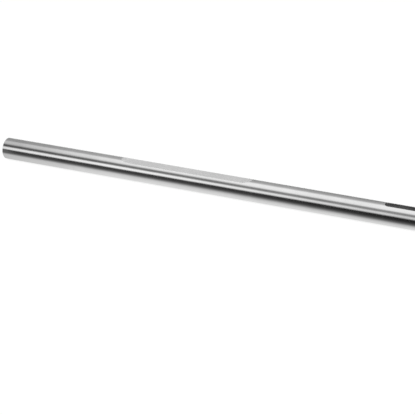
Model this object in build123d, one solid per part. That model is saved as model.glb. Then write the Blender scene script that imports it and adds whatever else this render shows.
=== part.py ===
from build123d import *
import os

# A fan shaft: one round bar of ground steel that lies on its side along X, with a milled flat
# for the fan hub's set screws and a keyway for the pulley. The origin is on the bar's own axis,
# halfway along it. +X points to the keyed end, and +Z out of the flat and the keyway.

# Bar, in millimetres
shaft_diameter = 25.0
shaft_length = 600.0
end_chamfer = 0.5

# Set-screw flat, cut across the bar by the rim of a side-milling cutter that travels along it
flat_depth = 1.5              # below the crown of the bar
flat_length = 143.0           # at full depth, which is also the cutter's travel
flat_from_plain_end = 242.0   # from the plain end's face to the middle of the flat
cutter_diameter = 100.0       # its radius is left at both ends of the flat as a shallow run-out

# Keyway, cut by an end mill of its own width and open at the keyed end's face
key_width = 8.0
keyway_depth = 4.0            # below the crown of the bar
keyway_length = 112.5         # from the keyed end's face to the tip of the round inner end

# Places worked out from the sizes above
shaft_radius = shaft_diameter / 2
plain_end_x = -shaft_length / 2
keyed_end_x = shaft_length / 2
flat_middle_x = plain_end_x + flat_from_plain_end
flat_z = shaft_radius - flat_depth
keyway_floor_z = shaft_radius - keyway_depth
keyway_centre_x = keyed_end_x - keyway_length + key_width / 2


def round_bar():
    """The bar along X, with the rims of both ends chamfered."""
    bar = Cylinder(shaft_radius, shaft_length, rotation=(0, -90, 0))
    return chamfer(bar.edges().filter_by(GeomType.CIRCLE), end_chamfer)


def cutter_path():
    """What the side-milling cutter sweeps: a stadium seen from the side, as wide as the bar."""
    cutter_axis_z = flat_z + cutter_diameter / 2
    with BuildPart() as path:
        with BuildSketch(Plane.XZ):
            with Locations((flat_middle_x, cutter_axis_z)):
                SlotCenterToCenter(flat_length, cutter_diameter)
        extrude(amount=shaft_radius, both=True)
    return path.part


def keyway_cut():
    """What the end mill sweeps: round at the inner end, and past the keyed end's face at the other."""
    run_past = key_width
    with BuildPart() as cut:
        with BuildSketch(Plane.XY.offset(keyway_floor_z)):
            with Locations(((keyway_centre_x + keyed_end_x + run_past) / 2, 0)):
                SlotCenterToCenter(keyed_end_x + run_past - keyway_centre_x, key_width)
        extrude(amount=shaft_diameter)
    return cut.part


def fan_shaft():
    """The finished shaft, one solid."""
    return round_bar() - cutter_path() - keyway_cut()


os.makedirs("parts", exist_ok=True)
export_step(fan_shaft(), "parts/shaft.step")
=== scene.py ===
import math

import bpy
from mathutils import Matrix, Vector


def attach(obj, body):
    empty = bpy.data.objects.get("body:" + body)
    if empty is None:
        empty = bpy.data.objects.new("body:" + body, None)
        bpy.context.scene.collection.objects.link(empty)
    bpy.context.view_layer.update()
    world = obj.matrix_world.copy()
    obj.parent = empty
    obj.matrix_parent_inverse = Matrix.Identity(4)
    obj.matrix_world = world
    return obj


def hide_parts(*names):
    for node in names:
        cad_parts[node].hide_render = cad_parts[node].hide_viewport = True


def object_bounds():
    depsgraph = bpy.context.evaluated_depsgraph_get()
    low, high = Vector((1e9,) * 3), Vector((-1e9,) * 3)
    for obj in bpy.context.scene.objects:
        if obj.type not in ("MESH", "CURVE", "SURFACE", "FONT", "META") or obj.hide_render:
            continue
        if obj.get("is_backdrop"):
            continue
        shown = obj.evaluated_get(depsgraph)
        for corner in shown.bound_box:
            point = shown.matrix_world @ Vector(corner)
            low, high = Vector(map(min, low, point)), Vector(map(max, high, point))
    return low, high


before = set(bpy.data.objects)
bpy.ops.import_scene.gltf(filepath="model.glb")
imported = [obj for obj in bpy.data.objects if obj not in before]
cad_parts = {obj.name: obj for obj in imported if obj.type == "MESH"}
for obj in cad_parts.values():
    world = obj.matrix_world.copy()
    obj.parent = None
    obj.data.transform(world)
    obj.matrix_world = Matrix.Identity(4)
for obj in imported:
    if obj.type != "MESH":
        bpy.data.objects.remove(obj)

cad_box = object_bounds()

MM = 0.001

# The shaft's sizes in millimetres, as in the CAD. Edge break and corner radius are fine relief,
# which only the visual has.
RADIUS = 12.5
HALF_LENGTH = 300.0
END_CHAMFER = 0.5
CORNER_RADIUS = 0.1           # where the chamfer meets the end's face and the bar

FLAT_Z = 11.0
FLAT_START_X = -129.5         # the flat's full depth runs from here
FLAT_STOP_X = 13.5            # to here
CUTTER_RADIUS = 50.0          # its run-outs lie beyond both

MILL_RADIUS = 4.0             # of the end mill that cut the keyway
KEYWAY_TIP_X = 187.5
MILL_START_X = KEYWAY_TIP_X + MILL_RADIUS
KEYWAY_FLOOR_Z = 8.5
EDGE_BREAK = 0.15             # at the keyway's mouth

# How finely the mesh is cut
INNER_STEPS = 6               # across half of the flat or of the keyway's floor
SHOULDER_STEPS = 14           # round the bar from there to the shoulder
SHOULDER = math.radians(34)   # an angle from the crown that clears both the flat and the keyway
UNDER_STEPS = 72              # round the bar from the shoulder to the bottom
RUN_OUT_STEPS = 20
MILL_STEPS = 14
CORNER_STEPS = 3
BAR_PITCH = 14.0              # between sections where nothing changes
SAME_DIGITS = 5               # points that agree to so many digits of a millimetre are one
OFF_MIDDLE = 1e-9             # a wall's point on the middle plane counts as this far to its own side


def steps(start, stop, count):
    """The places that divide the way from start to stop into this many even steps."""
    return [start + (stop - start) * k / count for k in range(count + 1)]


def spaced(start, stop, pitch):
    """The same, with steps of about this length."""
    return steps(start, stop, max(1, round((stop - start) / pitch)))


class Section:
    """One cross-section of the shaft at x.

    Half of its outline runs from the crown to the bottom: across the flat or the keyway's floor,
    up the keyway's wall, over its broken edge, then round the bar. What a section doesn't have
    takes no length. tilt is the round surface's normal as (along the bar, outward).
    """

    HALF_COUNT = INNER_STEPS + 2 + SHOULDER_STEPS + UNDER_STEPS  # 2 for the wall and its edge

    def __init__(self, x, radius=RADIUS, tilt=(0.0, 1.0), inner=0.0, inner_z=None, wall_z=None, outer=None):
        self.x = x
        self.tilt = tilt
        outer = inner if outer is None else outer
        inner_z = math.sqrt(radius**2 - outer**2) if inner_z is None else inner_z
        wall_z = inner_z if wall_z is None else wall_z
        half = [(y, inner_z) for y in steps(0.0, inner, INNER_STEPS)]
        half.append((inner, wall_z))
        start = math.asin(outer / radius)
        angles = steps(start, SHOULDER, SHOULDER_STEPS) + steps(SHOULDER, math.pi, UNDER_STEPS)[1:]
        half += [(radius * math.sin(a), radius * math.cos(a)) for a in angles]
        half[-1] = (0.0, -radius)
        self.loop = half + [(-y, z) for y, z in reversed(half[1:-1])]

    @classmethod
    def part_of(cls, index):
        """What the outline's step from index to index + 1 belongs to."""
        k = index if index < cls.HALF_COUNT else 2 * cls.HALF_COUNT - 1 - index
        if k < INNER_STEPS:
            return "inner"
        if k == INNER_STEPS:
            return "wall"
        if k == INNER_STEPS + 1:
            return "break"
        return "round"


def end_profile():
    """(depth behind the end's face, radius, normal along the bar, normal outward), from the face inward."""
    slope = math.radians(45)
    reach = CORNER_RADIUS * math.tan(slope / 2)
    face_corner = RADIUS - END_CHAMFER - reach
    bar_corner = END_CHAMFER + reach
    out = []
    for a in steps(0.0, slope, CORNER_STEPS):
        depth = CORNER_RADIUS * (1 - math.cos(a))
        out.append((depth, face_corner + CORNER_RADIUS * math.sin(a), math.cos(a), math.sin(a)))
    for a in steps(slope, 2 * slope, CORNER_STEPS):
        radius = RADIUS - CORNER_RADIUS * (1 - math.sin(a))
        out.append((bar_corner - CORNER_RADIUS * math.cos(a), radius, math.cos(a), math.sin(a)))
    return out


FULL_WALL_Z = math.sqrt(RADIUS**2 - MILL_RADIUS**2) - EDGE_BREAK
BREAK_RADIUS = math.hypot(MILL_RADIUS, FULL_WALL_Z)  # a bar this thin would have no broken edge left


def keyway_section(x, radius=RADIUS, tilt=(0.0, 1.0)):
    """A section through the keyway at its full width."""
    share = max(0.0, (radius - BREAK_RADIUS) / (RADIUS - BREAK_RADIUS))
    wall_z = FULL_WALL_Z if share > 0.0 else math.sqrt(radius**2 - MILL_RADIUS**2)
    return Section(x, radius, tilt, MILL_RADIUS, KEYWAY_FLOOR_Z, wall_z, MILL_RADIUS + EDGE_BREAK * share)


def run_outs():
    """(distance beyond the flat's full depth, half width there, height there), from the tip inward."""
    full_width = math.sqrt(RADIUS**2 - FLAT_Z**2)
    out = []
    for a in steps(0.0, math.pi / 2, RUN_OUT_STEPS):
        width = full_width * math.sin(a)
        z = math.sqrt(RADIUS**2 - width**2)
        reach = math.sqrt(max(0.0, CUTTER_RADIUS**2 - (FLAT_Z + CUTTER_RADIUS - z) ** 2))
        out.append((reach, width, z))
    return out


def sections():
    """Every cross-section from the plain end to the keyed one, each with the zone that leads up to it."""
    out = []

    def add(zone, *section, **more):
        out.append((Section(*section, **more), zone))

    def add_run(zone, stop, make):
        for x in spaced(out[-1][0].x, stop, BAR_PITCH)[1:]:
            out.append((make(x), zone))

    profile = end_profile()
    for depth, radius, along, outward in profile:
        add("end", depth - HALF_LENGTH, radius, (-along, outward))

    tip, *inward = run_outs()
    add_run("bar", FLAT_START_X - tip[0], Section)
    for reach, width, z in inward:
        add("run_out", FLAT_START_X - reach, inner=width, inner_z=z)
    full_width = inward[-1][1]
    add_run("flat", FLAT_STOP_X, lambda x: Section(x, inner=full_width, inner_z=FLAT_Z))
    for reach, width, z in reversed([tip] + inward[:-1]):
        add("run_out", FLAT_STOP_X + reach, inner=width, inner_z=z)

    # The keyway's round inner end: the broken edge comes first, then the wall and the floor.
    add_run("bar", KEYWAY_TIP_X - EDGE_BREAK, Section)
    mouth_radius = MILL_RADIUS + EDGE_BREAK
    for a in steps(0.0, math.acos(MILL_RADIUS / mouth_radius), CORNER_STEPS)[1:]:
        x = MILL_START_X - mouth_radius * math.cos(a)
        z = RADIUS - (x - KEYWAY_TIP_X + EDGE_BREAK)
        add("key", x, inner_z=z, outer=mouth_radius * math.sin(a))
    for a in steps(0.0, math.pi / 2, MILL_STEPS):
        x = MILL_START_X - MILL_RADIUS * math.cos(a)
        inner = MILL_RADIUS * math.sin(a)
        wall_z = math.sqrt(RADIUS**2 - inner**2) - EDGE_BREAK
        outer = math.sqrt(mouth_radius**2 - (MILL_START_X - x) ** 2)
        add("key", x, inner=inner, inner_z=KEYWAY_FLOOR_Z, wall_z=wall_z, outer=outer)

    profile.reverse()
    add_run("key", HALF_LENGTH - profile[0][0], keyway_section)
    for (depth0, radius0, *_), (depth, radius, along, outward) in zip(profile, profile[1:]):
        if radius0 > BREAK_RADIUS > radius:
            part = (radius0 - BREAK_RADIUS) / (radius0 - radius)
            x = HALF_LENGTH - depth0 - part * (depth - depth0)
            out.append((keyway_section(x, BREAK_RADIUS, (along, outward)), "key_end"))
        out.append((keyway_section(HALF_LENGTH - depth, radius, (along, outward)), "key_end"))
    return out


def normal_at(part, zone, section, y, z):
    """The exact surface's outward normal, so that reflections run true over the mesh."""
    along, outward = section.tilt
    r = math.hypot(y, z)
    round_normal = Vector((along, outward * y / r, outward * z / r))
    if part == "round":
        return round_normal
    if part == "inner":
        ahead = 0.0
        if zone == "run_out":
            ahead = section.x - min(max(section.x, FLAT_START_X), FLAT_STOP_X)
        return Vector((-ahead, 0.0, math.sqrt(CUTTER_RADIUS**2 - ahead**2))).normalized()
    toward_mill = Vector((max(0.0, MILL_START_X - section.x), -y, 0.0)).normalized()
    if part == "wall":
        return toward_mill
    return (toward_mill + round_normal).normalized()


GROUND, MILLED, KEYED, TURNED = range(4)  # places in FINISHES


def finish_of(part, zone):
    """Which of the shaft's finishes a face has."""
    if part == "round":
        return TURNED if zone in ("end", "key_end") else GROUND
    if part == "inner" and zone in ("run_out", "flat"):
        return MILLED
    return KEYED


def build_shaft():
    rows = sections()
    count = len(rows[0][0].loop)
    vertices, numbers = [], {}

    def vertex(i, j):
        """The number of row i's point j, the same one for points in the same place."""
        section = rows[i][0]
        place = tuple(round(v, SAME_DIGITS) for v in (section.x, *section.loop[j % count]))
        if place not in numbers:
            numbers[place] = len(vertices)
            vertices.append(tuple(v * MM for v in place))
        return numbers[place]

    faces, finishes, normals = [], [], []
    for i in range(1, len(rows)):
        zone = rows[i][1]
        for j in range(count):
            part = Section.part_of(j)
            kept = {}
            for a, b in ((i - 1, j), (i, j), (i, j + 1), (i - 1, j + 1)):
                kept.setdefault(vertex(a, b), (a, b))
            if len(kept) < 3:
                continue
            faces.append(list(kept))
            finishes.append(finish_of(part, zone))
            side = 1.0 if j < Section.HALF_COUNT else -1.0
            for a, b in kept.values():
                y, z = rows[a][0].loop[b % count]
                if part in ("wall", "break") and abs(y) < OFF_MIDDLE:
                    y = OFF_MIDDLE * side
                normals.append(normal_at(part, zone, rows[a][0], y, z))
    for i, sign in ((0, -1), (len(rows) - 1, 1)):
        ring = list(dict.fromkeys(vertex(i, j) for j in range(count)))
        faces.append(ring if sign < 0 else ring[::-1])
        finishes.append(TURNED)
        normals += [Vector((sign, 0, 0))] * len(ring)
    mesh = bpy.data.meshes.new("steel_shaft")
    mesh.from_pydata(vertices, [], faces)
    mesh.polygons.foreach_set("material_index", finishes)
    mesh.polygons.foreach_set("use_smooth", [True] * len(faces))
    mesh.update()
    mesh.normals_split_custom_set([tuple(normal) for normal in normals])
    shaft = bpy.data.objects.new("steel_shaft", mesh)
    bpy.context.scene.collection.objects.link(shaft)
    return shaft


shaft = build_shaft()


class Nodes:
    """A small hand for building node trees."""

    def __init__(self, tree):
        self.tree = tree
        tree.nodes.clear()

    def add(self, kind, inputs=None, **settings):
        node = self.tree.nodes.new(kind)
        for name, value in settings.items():
            setattr(node, name, value)
        for name, value in (inputs or {}).items():
            socket = node.inputs[name]
            if isinstance(value, bpy.types.NodeSocket):
                self.tree.links.new(value, socket)
            else:
                socket.default_value = value
        return node

    def math(self, operation, a, b=0.0, c=0.0):
        return self.add("ShaderNodeMath", {0: a, 1: b, 2: c}, operation=operation).outputs[0]

    def ramp(self, fac, stops):
        """Greys between two stops, each a place and a brightness."""
        node = self.add("ShaderNodeValToRGB", {"Fac": fac})
        for element, (place, value) in zip(node.color_ramp.elements, stops):
            element.position = place
            element.color = (value, value, value, 1)
        return node.outputs["Color"]

    def place(self):
        return self.add("ShaderNodeTexCoord").outputs["Object"]

    def noise(self, place, scale, detail, roughness=0.6):
        inputs = {"Vector": place, "Scale": scale, "Detail": detail, "Roughness": roughness}
        return self.add("ShaderNodeTexNoise", inputs).outputs["Fac"]

    def stretched(self, place, scale):
        """Noise drawn out along the directions that have small scales."""
        mapped = self.add("ShaderNodeMapping", {"Vector": place, "Scale": scale}).outputs[0]
        return self.noise(mapped, scale=1.0, detail=3.0, roughness=0.65)

    def lines(self, place, scale, distortion, detail):
        """Bands one after another along the bar."""
        inputs = {"Vector": place, "Scale": scale, "Distortion": distortion, "Detail": detail}
        return self.add("ShaderNodeTexWave", inputs, wave_type="BANDS", bands_direction="X").outputs["Fac"]

    def mix(self, a, b, share):
        """a and b together, a with this share."""
        return self.math("ADD", self.math("MULTIPLY", a, share), self.math("MULTIPLY", b, 1.0 - share))


def new_material(name):
    material = bpy.data.materials.new(name)
    material.use_nodes = True
    return material, Nodes(material.node_tree)


# The tool marks. Scales are along the bar and in the two directions across it, for each metre.

def grinding_marks(n, place):
    """Fine rings around the bar."""
    return n.stretched(place, scale=(9000.0, 90.0, 90.0))


def milling_marks(n, place):
    """Lines across the flat, one for each pass of a tooth."""
    passes = n.lines(place, scale=260.0, distortion=0.6, detail=1.0)
    scratches = n.stretched(place, scale=(6000.0, 300.0, 300.0))
    return n.mix(passes, scratches, share=0.6)


def keyway_marks(n, place):
    """Uneven cutter lines across the floor and up the walls."""
    passes = n.lines(place, scale=400.0, distortion=2.5, detail=2.0)
    scratches = n.stretched(place, scale=(2500.0, 900.0, 900.0))
    return n.mix(passes, scratches, share=0.5)


TURNING_FEED = 0.0004         # metres from one ring on the ends to the next


def turning_marks(n, place):
    """Rings about the bar's axis on the end faces and chamfers."""
    axes = n.add("ShaderNodeSeparateXYZ", {"Vector": place}).outputs
    squares = n.math("ADD", n.math("POWER", axes["Y"], 2.0), n.math("POWER", axes["Z"], 2.0))
    wave = n.math("SINE", n.math("MULTIPLY", n.math("SQRT", squares), 2 * math.pi / TURNING_FEED))
    rings = n.math("MULTIPLY_ADD", wave, 0.5, 0.5)
    grain = n.stretched(place, scale=(2000.0, 2000.0, 2000.0))
    return n.mix(rings, grain, share=0.6)


NOISE_LOW, NOISE_HIGH = 0.3, 0.7  # nearly all of a noise lies between these


def steel(name, tone, tone_spread, roughness, spread, marks, mark_height):
    """Steel of one finish.

    tone is its grey and roughness its gloss, each wandering by its spread; marks gives the tool
    marks' height from 0 to 1, and mark_height is that height in metres.
    """
    material, n = new_material(name)
    place = n.place()
    broad = n.noise(place, scale=45.0, detail=4.0)
    fine = n.noise(place, scale=900.0, detail=3.0)
    colour = n.ramp(broad, [(NOISE_LOW, tone - tone_spread), (NOISE_HIGH, tone + tone_spread)])
    gloss = n.add("ShaderNodeMapRange", {
        "Value": n.mix(broad, fine, share=0.6),
        "From Min": NOISE_LOW,
        "From Max": NOISE_HIGH,
        "To Min": roughness - spread,
        "To Max": roughness + spread,
    }).outputs[0]
    bump = n.add("ShaderNodeBump", {"Height": marks(n, place), "Strength": 1.0, "Distance": mark_height})
    inputs = {"Base Color": colour, "Metallic": 1.0, "Roughness": gloss, "Normal": bump.outputs[0]}
    shader = n.add("ShaderNodeBsdfPrincipled", inputs).outputs[0]
    n.add("ShaderNodeOutputMaterial", {"Surface": shader})
    return material


# Name, tone and its spread, roughness and its spread, tool marks and their height
FINISHES = (
    ("ground_steel", 0.62, 0.03, 0.15, 0.03, grinding_marks, 1.5e-6),
    # painted light: the flat's tone of 0.87, well above the ground steel's 0.62, paints the light that
    # falls on the flat
    ("milled_steel_painted_light", 0.87, 0.03, 0.57, 0.04, milling_marks, 3e-6),
    # painted shade: the keyway's tone of 0.35, well below the ground steel's 0.62, paints the shade in the
    # slot
    ("keyway_steel_painted_shade", 0.35, 0.05, 0.42, 0.06, keyway_marks, 1.2e-5),
    ("turned_steel", 0.58, 0.03, 0.30, 0.04, turning_marks, 4e-6),
)
for finish in FINISHES:
    shaft.data.materials.append(steel(*finish))
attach(shaft, "root")
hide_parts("shaft")


def staged(name, vertices, faces, material):
    """A piece of the studio."""
    mesh = bpy.data.meshes.new(name)
    mesh.from_pydata(vertices, [], faces)
    mesh.update()
    obj = bpy.data.objects.new(name, mesh)
    bpy.context.scene.collection.objects.link(obj)
    obj.data.materials.append(material)
    obj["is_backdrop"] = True
    return obj


def seen_directly(n):
    """1 for what the camera, a reflection or a refraction sees, 0 for the light that a surface gathers."""
    path = n.add("ShaderNodeLightPath").outputs
    seen = n.math("MAXIMUM", path["Is Camera Ray"], path["Is Glossy Ray"])
    return n.math("MAXIMUM", seen, path["Is Transmission Ray"])


# The floor: white paper that keeps a faint shadow under the bar
FLOOR_Z = -RADIUS * MM
FLOOR_REACH = 6.0
FLOOR_WHITE = 0.80            # how much of its look is plain white, whatever falls on it
PAPER_DARK, PAPER_LIGHT = 0.90, 0.94


def white_paper():
    material, n = new_material("white_paper")
    fibres = n.noise(n.place(), scale=700.0, detail=2.0)
    paper = n.ramp(fibres, [(0.0, PAPER_DARK), (1.0, PAPER_LIGHT)])
    diffuse = n.add("ShaderNodeBsdfDiffuse", {"Color": paper}).outputs[0]
    white = n.add("ShaderNodeEmission", {"Strength": 1.0}).outputs[0]
    share = n.math("MULTIPLY", seen_directly(n), FLOOR_WHITE)
    surface = n.add("ShaderNodeMixShader", {0: share, 1: diffuse, 2: white}).outputs[0]
    n.add("ShaderNodeOutputMaterial", {"Surface": surface})
    return material


corner_signs = ((-1, -1), (1, -1), (1, 1), (-1, 1))
floor_corners = [(x * FLOOR_REACH, y * FLOOR_REACH, FLOOR_Z) for x, y in corner_signs]
staged("floor", floor_corners, [(0, 1, 2, 3)], white_paper())


# Studio cards that show in the steel and nowhere else. Their brightness is set in rows:
# (where the row lies at the card's left end, at its right end, brightness at the left, at the right).

def card_glow():
    """Light of the strength that a card's corners carry."""
    material, n = new_material("card_glow")
    glow = n.add("ShaderNodeAttribute", attribute_name="glow").outputs["Fac"]
    light = n.add("ShaderNodeEmission", {"Strength": glow}).outputs[0]
    n.add("ShaderNodeOutputMaterial", {"Surface": light})
    return material


CARD_GLOW = card_glow()
CARD_PITCH = 0.05             # metres between a long card's columns of corners


def level_rows(*rows):
    """Rows that are alike at both ends, each a place and a brightness."""
    return [(where, where, glow, glow) for where, glow in rows]


def places_of(rows):
    return [where for where, *_ in rows]


def glow_at(rows, share, where):
    """The brightness at a place between rows, this share of the way from left to right."""
    places = [left + (right - left) * share for left, right, _, _ in rows]
    glows = [left + (right - left) * share for _, _, left, right in rows]
    if where <= places[0]:
        return glows[0]
    for k in range(1, len(rows)):
        if where <= places[k]:
            part = (where - places[k - 1]) / (places[k] - places[k - 1])
            return glows[k - 1] + part * (glows[k] - glows[k - 1])
    return glows[-1]


def eased(at, start, stop):
    """0 up to start and 1 beyond stop, smooth between."""
    part = min(max((at - start) / (stop - start), 0.0), 1.0)
    return part * part * (3 - 2 * part)


def card(name, columns, across, rows, ends, point, fade=lambda x, where: 1.0):
    """A sheet of (x, place across) points, lit by rows whose left and right ends lie at the x of ends."""
    vertices, glows = [], []
    for x in columns:
        share = min(max((x - ends[0]) / (ends[1] - ends[0]), 0.0), 1.0)
        for where in across:
            vertices.append(point(x, where))
            glows.append(glow_at(rows, share, where) * fade(x, where))
    count = len(across)
    firsts = [i * count + j for i in range(len(columns) - 1) for j in range(count - 1)]
    faces = [(a, a + count, a + count + 1, a + 1) for a in firsts]
    obj = staged(name, vertices, faces, CARD_GLOW)
    obj.data.attributes.new("glow", "FLOAT", "POINT").data.foreach_set("value", glows)
    obj.visible_camera = False
    obj.visible_diffuse = False
    obj.visible_shadow = False
    obj.visible_transmission = False
    obj.visible_volume_scatter = False
    return obj


# The tent, a long arch over the bar. Places across it are degrees about the bar's axis, from the
# front horizon (0) over the top (90) to the back horizon (180).
TENT_RADIUS = 1.3
TENT_REACH = 4.0
TENT_SPAN = (-1.30, 0.95)     # it changes along the bar only between these
TENT_ANGLES = range(-1, 182)  # a row of corners at each degree
TENT_ENDS = (-1.10, -0.25)
TENT_ROWS = [
    (-10, -10, 0.07, 0.02),   # dark room beyond the front of the table
    (11.5, 11, 0.08, 0.04),
    (17, 20, 1.28, 0.72),     # front strip light
    (22, 26, 1.76, 0.95),
    (36.5, 35, 1.68, 0.92),
    (46.5, 45, 0.18, 0.38),   # gap between the lights
    (62, 59, 0.12, 0.36),
    (76, 72, 1.00, 1.24),     # overhead soft box
    (84, 80, 1.27, 1.28),
    (110, 108, 1.32, 1.32),
    (122, 124, 0.74, 0.72),   # grey wall behind
    (134, 134, 0.63, 0.52),
    (160, 160, 0.58, 0.44),
    (180, 180, 0.50, 0.08),
]
LEFT_FADE = (-0.80, -1.12)          # the lights fade out between these, toward the left end
RIGHT_FADE = (0.10, 0.90)           # and the right one
FADE_STRIP, FADE_BOX = 0.68, 0.55   # to this much of their brightness
BOX_FROM, BOX_TO = 62, 128          # the soft box with its soft edges, in degrees


def tent_fade(x, angle):
    level = FADE_BOX if BOX_FROM < angle < BOX_TO else FADE_STRIP
    return 1 - (1 - level) * max(eased(x, *LEFT_FADE), eased(x, *RIGHT_FADE))


def tent_point(x, angle):
    a = math.radians(angle)
    return (x, -TENT_RADIUS * math.cos(a), TENT_RADIUS * math.sin(a))


tent_columns = [-TENT_REACH] + spaced(*TENT_SPAN, CARD_PITCH) + [TENT_REACH]
card("tent", tent_columns, TENT_ANGLES, TENT_ROWS, TENT_ENDS, tent_point, tent_fade)

# Low cards that lie on the table in front of the bar and behind it and then stand up, dark at the
# top. Where they lie on the table, their brightness is a painted reflection of the floor, darker
# next to the bar as painted shade. Places across them are millimetres from under the bar to the
# foot and on up.
LOW_REACH = 2.0
LOW_SPAN = (-0.25, 0.30)      # here they change slowly along the bar
LOW_FROM, LOW_FOOT, LOW_TOP = 3.0, 26.0, 44.5
LOW_PITCH = 0.5
LOW_GAP = 0.1                 # between the floor and what lies on it
LOW_ENDS = (-0.30, 0.22)
# rows up to the foot at 26 mm are the painted reflection of the floor, the first one its painted shade next
# to the bar
LOW_ROWS = [
    (3, 3, 0.80, 0.80),
    (10, 10, 1.10, 1.04),
    (18, 16, 1.10, 0.78),
    (24, 23, 1.04, 0.26),
    (31, 30, 0.41, 0.11),
    (36, 36, 0.12, 0.04),
    (44, 44, 0.06, 0.015),
]
LOW_FADE = (-0.15, -0.29)     # they fade between these, toward the plain end
FADE_LOW = 0.74               # to this much of their brightness
LIFT_FROM, LIFT_TO = -0.286, -0.308  # at the plain end the dark top turns greyer between these
LIFT_PLACES = (34, 39)        # and between these places across
LIFT = 2.8                    # so many times as bright
LIFT_STEPS = 4                # steps from column to column of the card's corners there


def low_fade(x, where):
    level = 1 - (1 - FADE_LOW) * eased(x, *LOW_FADE)
    lift = eased(x, LIFT_FROM, LIFT_TO) * eased(where, *LIFT_PLACES)
    return level * (1 + (LIFT - 1) * lift)


def low_point(side):
    """Just over the floor up to the foot, upright beyond it."""
    def point(x, where):
        out, up = min(where, LOW_FOOT), max(where - LOW_FOOT, LOW_GAP)
        return (x, side * out * MM, FLOOR_Z + up * MM)
    return point


lift_columns = steps(LIFT_TO, LIFT_FROM, LIFT_STEPS)
low_columns = [-LOW_REACH] + lift_columns + spaced(*LOW_SPAN, CARD_PITCH) + [LOW_REACH]
low_places = spaced(LOW_FROM, LOW_TOP, LOW_PITCH)
for name, side in (("front_card", -1), ("back_card", 1)):
    card(name, low_columns, low_places, LOW_ROWS, LOW_ENDS, low_point(side), low_fade)

# Cards that close the tent's two ends, for the end faces. Places across them are heights in metres.
END_WIDTH = (-TENT_RADIUS, TENT_RADIUS)
END_ROWS = level_rows((0.0, 0.25), (TENT_RADIUS / 2, 0.70), (TENT_RADIUS, 1.00))


def end_point(x):
    return lambda y, z: (x, y, z)


for name, x in (("left_card", -TENT_REACH), ("right_card", TENT_REACH)):
    card(name, END_WIDTH, places_of(END_ROWS), END_ROWS, END_WIDTH, end_point(x))

# Small cards that stand beside each end face, clear of the bar's own reflections, so that the
# face shows light against the keyway. Places across them are millimetres up from the floor.
BESIDE_Y = 14.0
BESIDE_REACH = (2.5, 60.0)    # beyond the end's face
BESIDE_ROWS = level_rows((0.0, 0.95), (2 * RADIUS, 0.70))


def beside_point(end, side):
    """At this end of the bar (-1 or 1) and on this side of it."""
    return lambda out, up: (end * (HALF_LENGTH + out) * MM, side * BESIDE_Y * MM, FLOOR_Z + up * MM)


for end, end_name in ((-1, "plain"), (1, "keyed")):
    for side, side_name in ((-1, "front"), (1, "back")):
        name = f"{end_name}_{side_name}_card"
        point = beside_point(end, side)
        card(name, BESIDE_REACH, places_of(BESIDE_ROWS), BESIDE_ROWS, BESIDE_REACH, point)

# The room's white: full where it is looked at, softer as light on the floor
WORLD_LIGHT = 0.5


def light_room():
    world = bpy.data.worlds.new("studio")
    bpy.context.scene.world = world
    world.use_nodes = True
    n = Nodes(world.node_tree)
    level = n.math("MULTIPLY_ADD", seen_directly(n), 1.0 - WORLD_LIGHT, WORLD_LIGHT)
    background = n.add("ShaderNodeBackground", {"Strength": level}).outputs[0]
    n.add("ShaderNodeOutputWorld", {"Surface": background})


light_room()

# The key light comes from the front, so that the bar's shadow falls behind it
KEY_FROM = Vector((-0.3, -1.0, 1.0))
KEY_STRENGTH = 3.7
KEY_SPREAD = math.radians(35)


def add_key_light():
    key = bpy.data.lights.new("soft_key", "SUN")
    key.energy = KEY_STRENGTH
    key.angle = KEY_SPREAD
    lamp = bpy.data.objects.new("soft_key", key)
    lamp.rotation_euler = (-KEY_FROM).to_track_quat("-Z", "Y").to_euler()
    lamp.visible_glossy = False
    bpy.context.scene.collection.objects.link(lamp)


add_key_light()

# The camera, as fitted to the photograph
PICTURE = 415                 # pixels
FOCAL_PIXELS = 2000.0
SENSOR = 36.0                 # millimetres
NEAREST, FARTHEST = 0.05, 50
CAMERA_PLACE = Vector((0.96598, -1.74975, 1.03893))
CAMERA_LOOKS_AT = Vector((-0.0338, 0.0, -0.0324))
CAMERA_ROLL = math.radians(4.807)


def add_camera():
    data = bpy.data.cameras.new("camera")
    data.sensor_fit = "HORIZONTAL"
    data.sensor_width = SENSOR
    data.lens = FOCAL_PIXELS / PICTURE * SENSOR
    data.clip_start, data.clip_end = NEAREST, FARTHEST
    camera = bpy.data.objects.new("camera", data)
    bpy.context.scene.collection.objects.link(camera)
    forward = (CAMERA_LOOKS_AT - CAMERA_PLACE).normalized()
    level_turn = forward.to_track_quat("-Z", "Y").to_matrix()
    roll = Matrix.Rotation(CAMERA_ROLL, 3, forward)
    camera.matrix_world = Matrix.LocRotScale(CAMERA_PLACE, roll @ level_turn, None)
    return camera


bpy.context.scene.camera = add_camera()
bpy.context.scene.view_settings.view_transform = "Standard"

visual_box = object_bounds()
boxes = {"cad": cad_box, "visual": visual_box}
{name: [[float(v) for v in corner] for corner in box] for name, box in boxes.items()}
